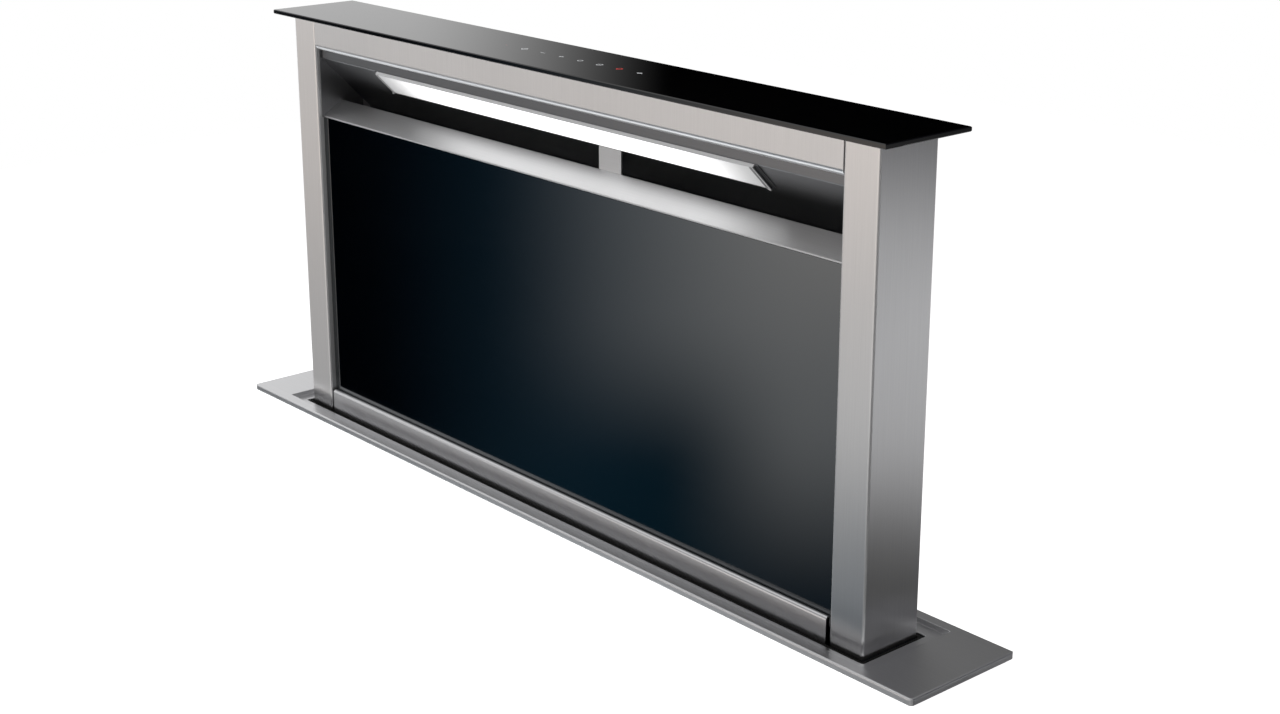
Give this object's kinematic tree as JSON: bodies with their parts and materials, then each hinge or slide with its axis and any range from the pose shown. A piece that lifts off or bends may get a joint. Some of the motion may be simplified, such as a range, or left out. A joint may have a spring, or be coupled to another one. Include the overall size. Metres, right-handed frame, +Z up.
{
  "type": "downdraft vent",
  "caption": "Downdraft vent whose steel and glass column rises out of a worktop flange, with a lit air slot, housing, blower and round duct collar below.",
  "frame": {"origin": "middle of the worktop cut-out, level with the worktop's top face, which is the underside of the flange", "axes": "+X to the cook's right, +Y away from the cook, +Z up; the column is raised"},
  "size_m": [0.9, 0.321, 1.038],
  "materials": {
    "stainless": "brushed, vertical grain on the posts",
    "deflector_steel": "brushed, dark in the slot",
    "top_glass": "black back-painted, polished bevel",
    "panel_glass": "dark blue-black back-painted",
    "galvanised": "zinc coated sheet",
    "opal": "opal diffuser",
    "aluminium": "mill finish",
    "circuit": "solder mask",
    "rubber": "matt black",
    "nylon": "natural nylon",
    "machined_steel": "machined",
    "cast_metal": "cast and painted",
    "black_plastic": "moulded",
    "grey_plastic": "moulded"
  },
  "bodies": {
    "housing": {"flange_frame": "stainless", "slot_seal": "rubber", "housing_front": "galvanised", "housing_back": "galvanised", "housing_side_left": "galvanised", "housing_side_right": "galvanised", "housing_bottom": "galvanised", "guide_rails": "galvanised", "rack_left": "machined_steel", "rack_right": "machined_steel", "inlet_ring": "galvanised", "blower_scroll": "galvanised", "scroll_cover": "galvanised", "fan_motor": "cast_metal", "duct_collar": "black_plastic", "damper_pin": "machined_steel", "control_base": "grey_plastic", "control_lid": "grey_plastic", "control_circuit": "circuit", "cable_gland": "black_plastic", "foot_brackets": "galvanised", "clamp_brackets": "galvanised"},
    "column": {"glass_top": "top_glass", "top_tray": "galvanised", "touch_board": "circuit", "post_left": "stainless", "post_right": "stainless", "back_panel": "stainless", "fascia": "stainless", "deflector": "deflector_steel", "recess_cheeks": "stainless", "sill": "stainless", "centre_stay": "stainless", "light_housing": "aluminium", "led_board": "circuit", "light_diffuser": "opal", "light_clips": "stainless", "glass_panel": "panel_glass", "panel_frame": "galvanised", "panel_catches": "machined_steel", "bottom_rail": "stainless", "carriage_beams": "galvanised", "grease_filter_left": "aluminium", "grease_filter_middle": "aluminium", "grease_filter_right": "aluminium", "filter_rail_low": "galvanised", "filter_rail_high": "galvanised", "end_plates": "galvanised", "glide_shoes": "nylon", "shaft_bearings": "cast_metal", "motor_bracket": "galvanised", "gear_motor": "cast_metal"},
    "drive_shaft": {"cross_shaft": "machined_steel", "pinions": "machined_steel"},
    "fan_wheel": {"impeller": "black_plastic", "impeller_shaft": "machined_steel"},
    "flap_rear": {"damper_flap_rear": "black_plastic"},
    "flap_front": {"damper_flap_front": "black_plastic"}
  },
  "joints": [
    {"name": "lift", "type": "slide", "parent": "housing", "child": "column", "axis": [0, 0, 1], "range_m": [-0.3927, 0]},
    {"name": "drive_spin", "type": "hinge", "parent": "column", "child": "drive_shaft", "pos_m": [0, 0.02, -0.112], "axis": [1, 0, 0], "range_deg": [0, 1501]},
    {"name": "wheel_spin", "type": "hinge", "parent": "housing", "child": "fan_wheel", "pos_m": [-0.06, -0.15, -0.49], "axis": [0, 1, 0], "continuous": true},
    {"name": "flap_rear_swing", "type": "hinge", "parent": "housing", "child": "flap_rear", "pos_m": [0.07283, -0.1275, -0.42067], "axis": [0, 0, -1], "range_deg": [0, 80], "stiffness_Nm_per_rad": 0.02},
    {"name": "flap_front_swing", "type": "hinge", "parent": "housing", "child": "flap_front", "pos_m": [0.07283, -0.1275, -0.42067], "axis": [0, 0, 1], "range_deg": [0, 80], "stiffness_Nm_per_rad": 0.02}
  ],
  "couplings": [
    {"joint": "drive_spin", "follows": "lift", "rad_per_m": -66.667}
  ]
}
